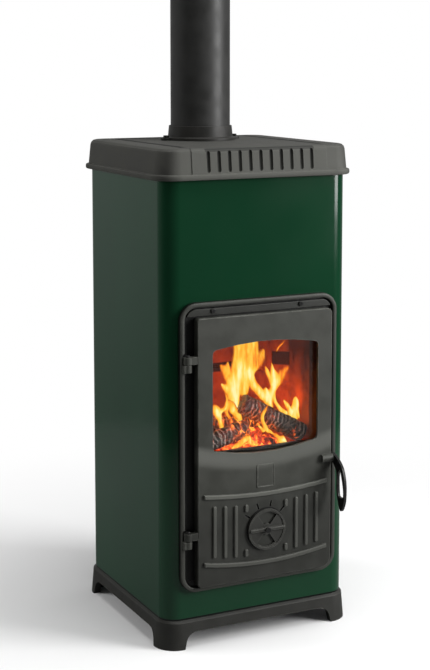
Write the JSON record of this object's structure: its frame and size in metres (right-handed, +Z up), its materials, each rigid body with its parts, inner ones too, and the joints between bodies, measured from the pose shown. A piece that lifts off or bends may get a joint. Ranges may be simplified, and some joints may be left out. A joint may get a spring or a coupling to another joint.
{
  "type": "wood stove",
  "caption": "Tall free-standing wood stove: enamelled jacket on a cast base, cast hob with flue pipe, and a cast door with window, air disc, ribs and lift lever round a brick-lined firebox.",
  "frame": {"origin": "on the floor, under the middle of the stove's bounding box, lever included", "axes": "+Z up; the door faces -Y; +X is to the right of someone who faces the door"},
  "size_m": [0.426, 0.473, 1.3006],
  "materials": {
    "green_enamel": "dark green satin enamel on steel sheet",
    "cast_iron": "fine sand-cast grain under matt heat-proof grey paint",
    "dark_steel": "matt black heat-proof paint",
    "black_cast": "smooth black paint, worn where it is held",
    "zinc_steel": "dull zinc-plated steel",
    "fire_brick": "rough fired clay, sooty at the joints",
    "rope_seal": "braided glass-fibre rope",
    "ceramic_glass": "clear ceramic glass",
    "charred_wood": "charred bark and wood, glowing in its cracks",
    "embers": "glowing charcoal with ash"
  },
  "bodies": {
    "stove": {"base_frame": "cast_iron", "floor_panel": "zinc_steel", "jacket": "green_enamel", "rear_panel": "dark_steel", "rear_screw_1": "zinc_steel", "rear_screw_2": "zinc_steel", "rear_screw_3": "zinc_steel", "rear_screw_4": "zinc_steel", "hob_top": "cast_iron", "flue_collar": "cast_iron", "collar_bolt_left": "black_cast", "collar_bolt_right": "black_cast", "flue_pipe": "dark_steel", "firebox_shell": "dark_steel", "hearth_plate": "cast_iron", "grate": "cast_iron", "baffle_plate": "fire_brick", "brick_left_front": "fire_brick", "brick_left_lower": "fire_brick", "brick_left_upper": "fire_brick", "brick_right_front": "fire_brick", "brick_right_lower": "fire_brick", "brick_right_upper": "fire_brick", "brick_back_lower": "fire_brick", "brick_back_upper": "fire_brick", "log_guard": "cast_iron", "ember_bed": "embers", "log_left": "charred_wood", "log_right": "charred_wood", "log_rear": "charred_wood", "door_frame": "cast_iron", "frame_screw_left": "black_cast", "frame_screw_right": "black_cast", "hinge_pin_lower": "black_cast", "hinge_pin_upper": "black_cast", "latch_keeper": "black_cast"},
    "door": {"door_leaf": "cast_iron", "door_seal": "rope_seal", "door_glass": "ceramic_glass", "glass_gasket": "rope_seal", "glass_clip_lower": "zinc_steel", "glass_clip_upper": "zinc_steel", "clip_screw_lower_left": "zinc_steel", "clip_screw_lower_right": "zinc_steel", "clip_screw_upper_left": "zinc_steel", "clip_screw_upper_right": "zinc_steel", "lever_pin": "black_cast", "air_screw": "black_cast", "air_nut": "zinc_steel"},
    "lever": {"handle_lever": "black_cast"},
    "air_control": {"air_disc": "cast_iron"},
    "pan": {"ash_pan": "zinc_steel"}
  },
  "joints": [
    {"name": "door_swing", "type": "hinge", "parent": "stove", "child": "door", "pos_m": [-0.1593, -0.1795, 0.388], "axis": [0, 0, -1], "range_deg": [0, 110]},
    {"name": "handle_lift", "type": "hinge", "parent": "door", "child": "lever", "pos_m": [0.1553, -0.1885, 0.346], "axis": [-1, 0, 0], "range_deg": [0, 60]},
    {"name": "air_disc_turn", "type": "hinge", "parent": "door", "child": "air_control", "pos_m": [0.005, -0.189, 0.221], "axis": [0, 1, 0], "range_deg": [0, 99]},
    {"name": "ash_pan_slide", "type": "slide", "parent": "stove", "child": "pan", "axis": [0, -1, 0], "range_m": [0, 0.144]}
  ],
  "couplings": [
    {"joint": "ash_pan_slide", "follows": "door_swing", "m_per_rad": 0.075}
  ]
}
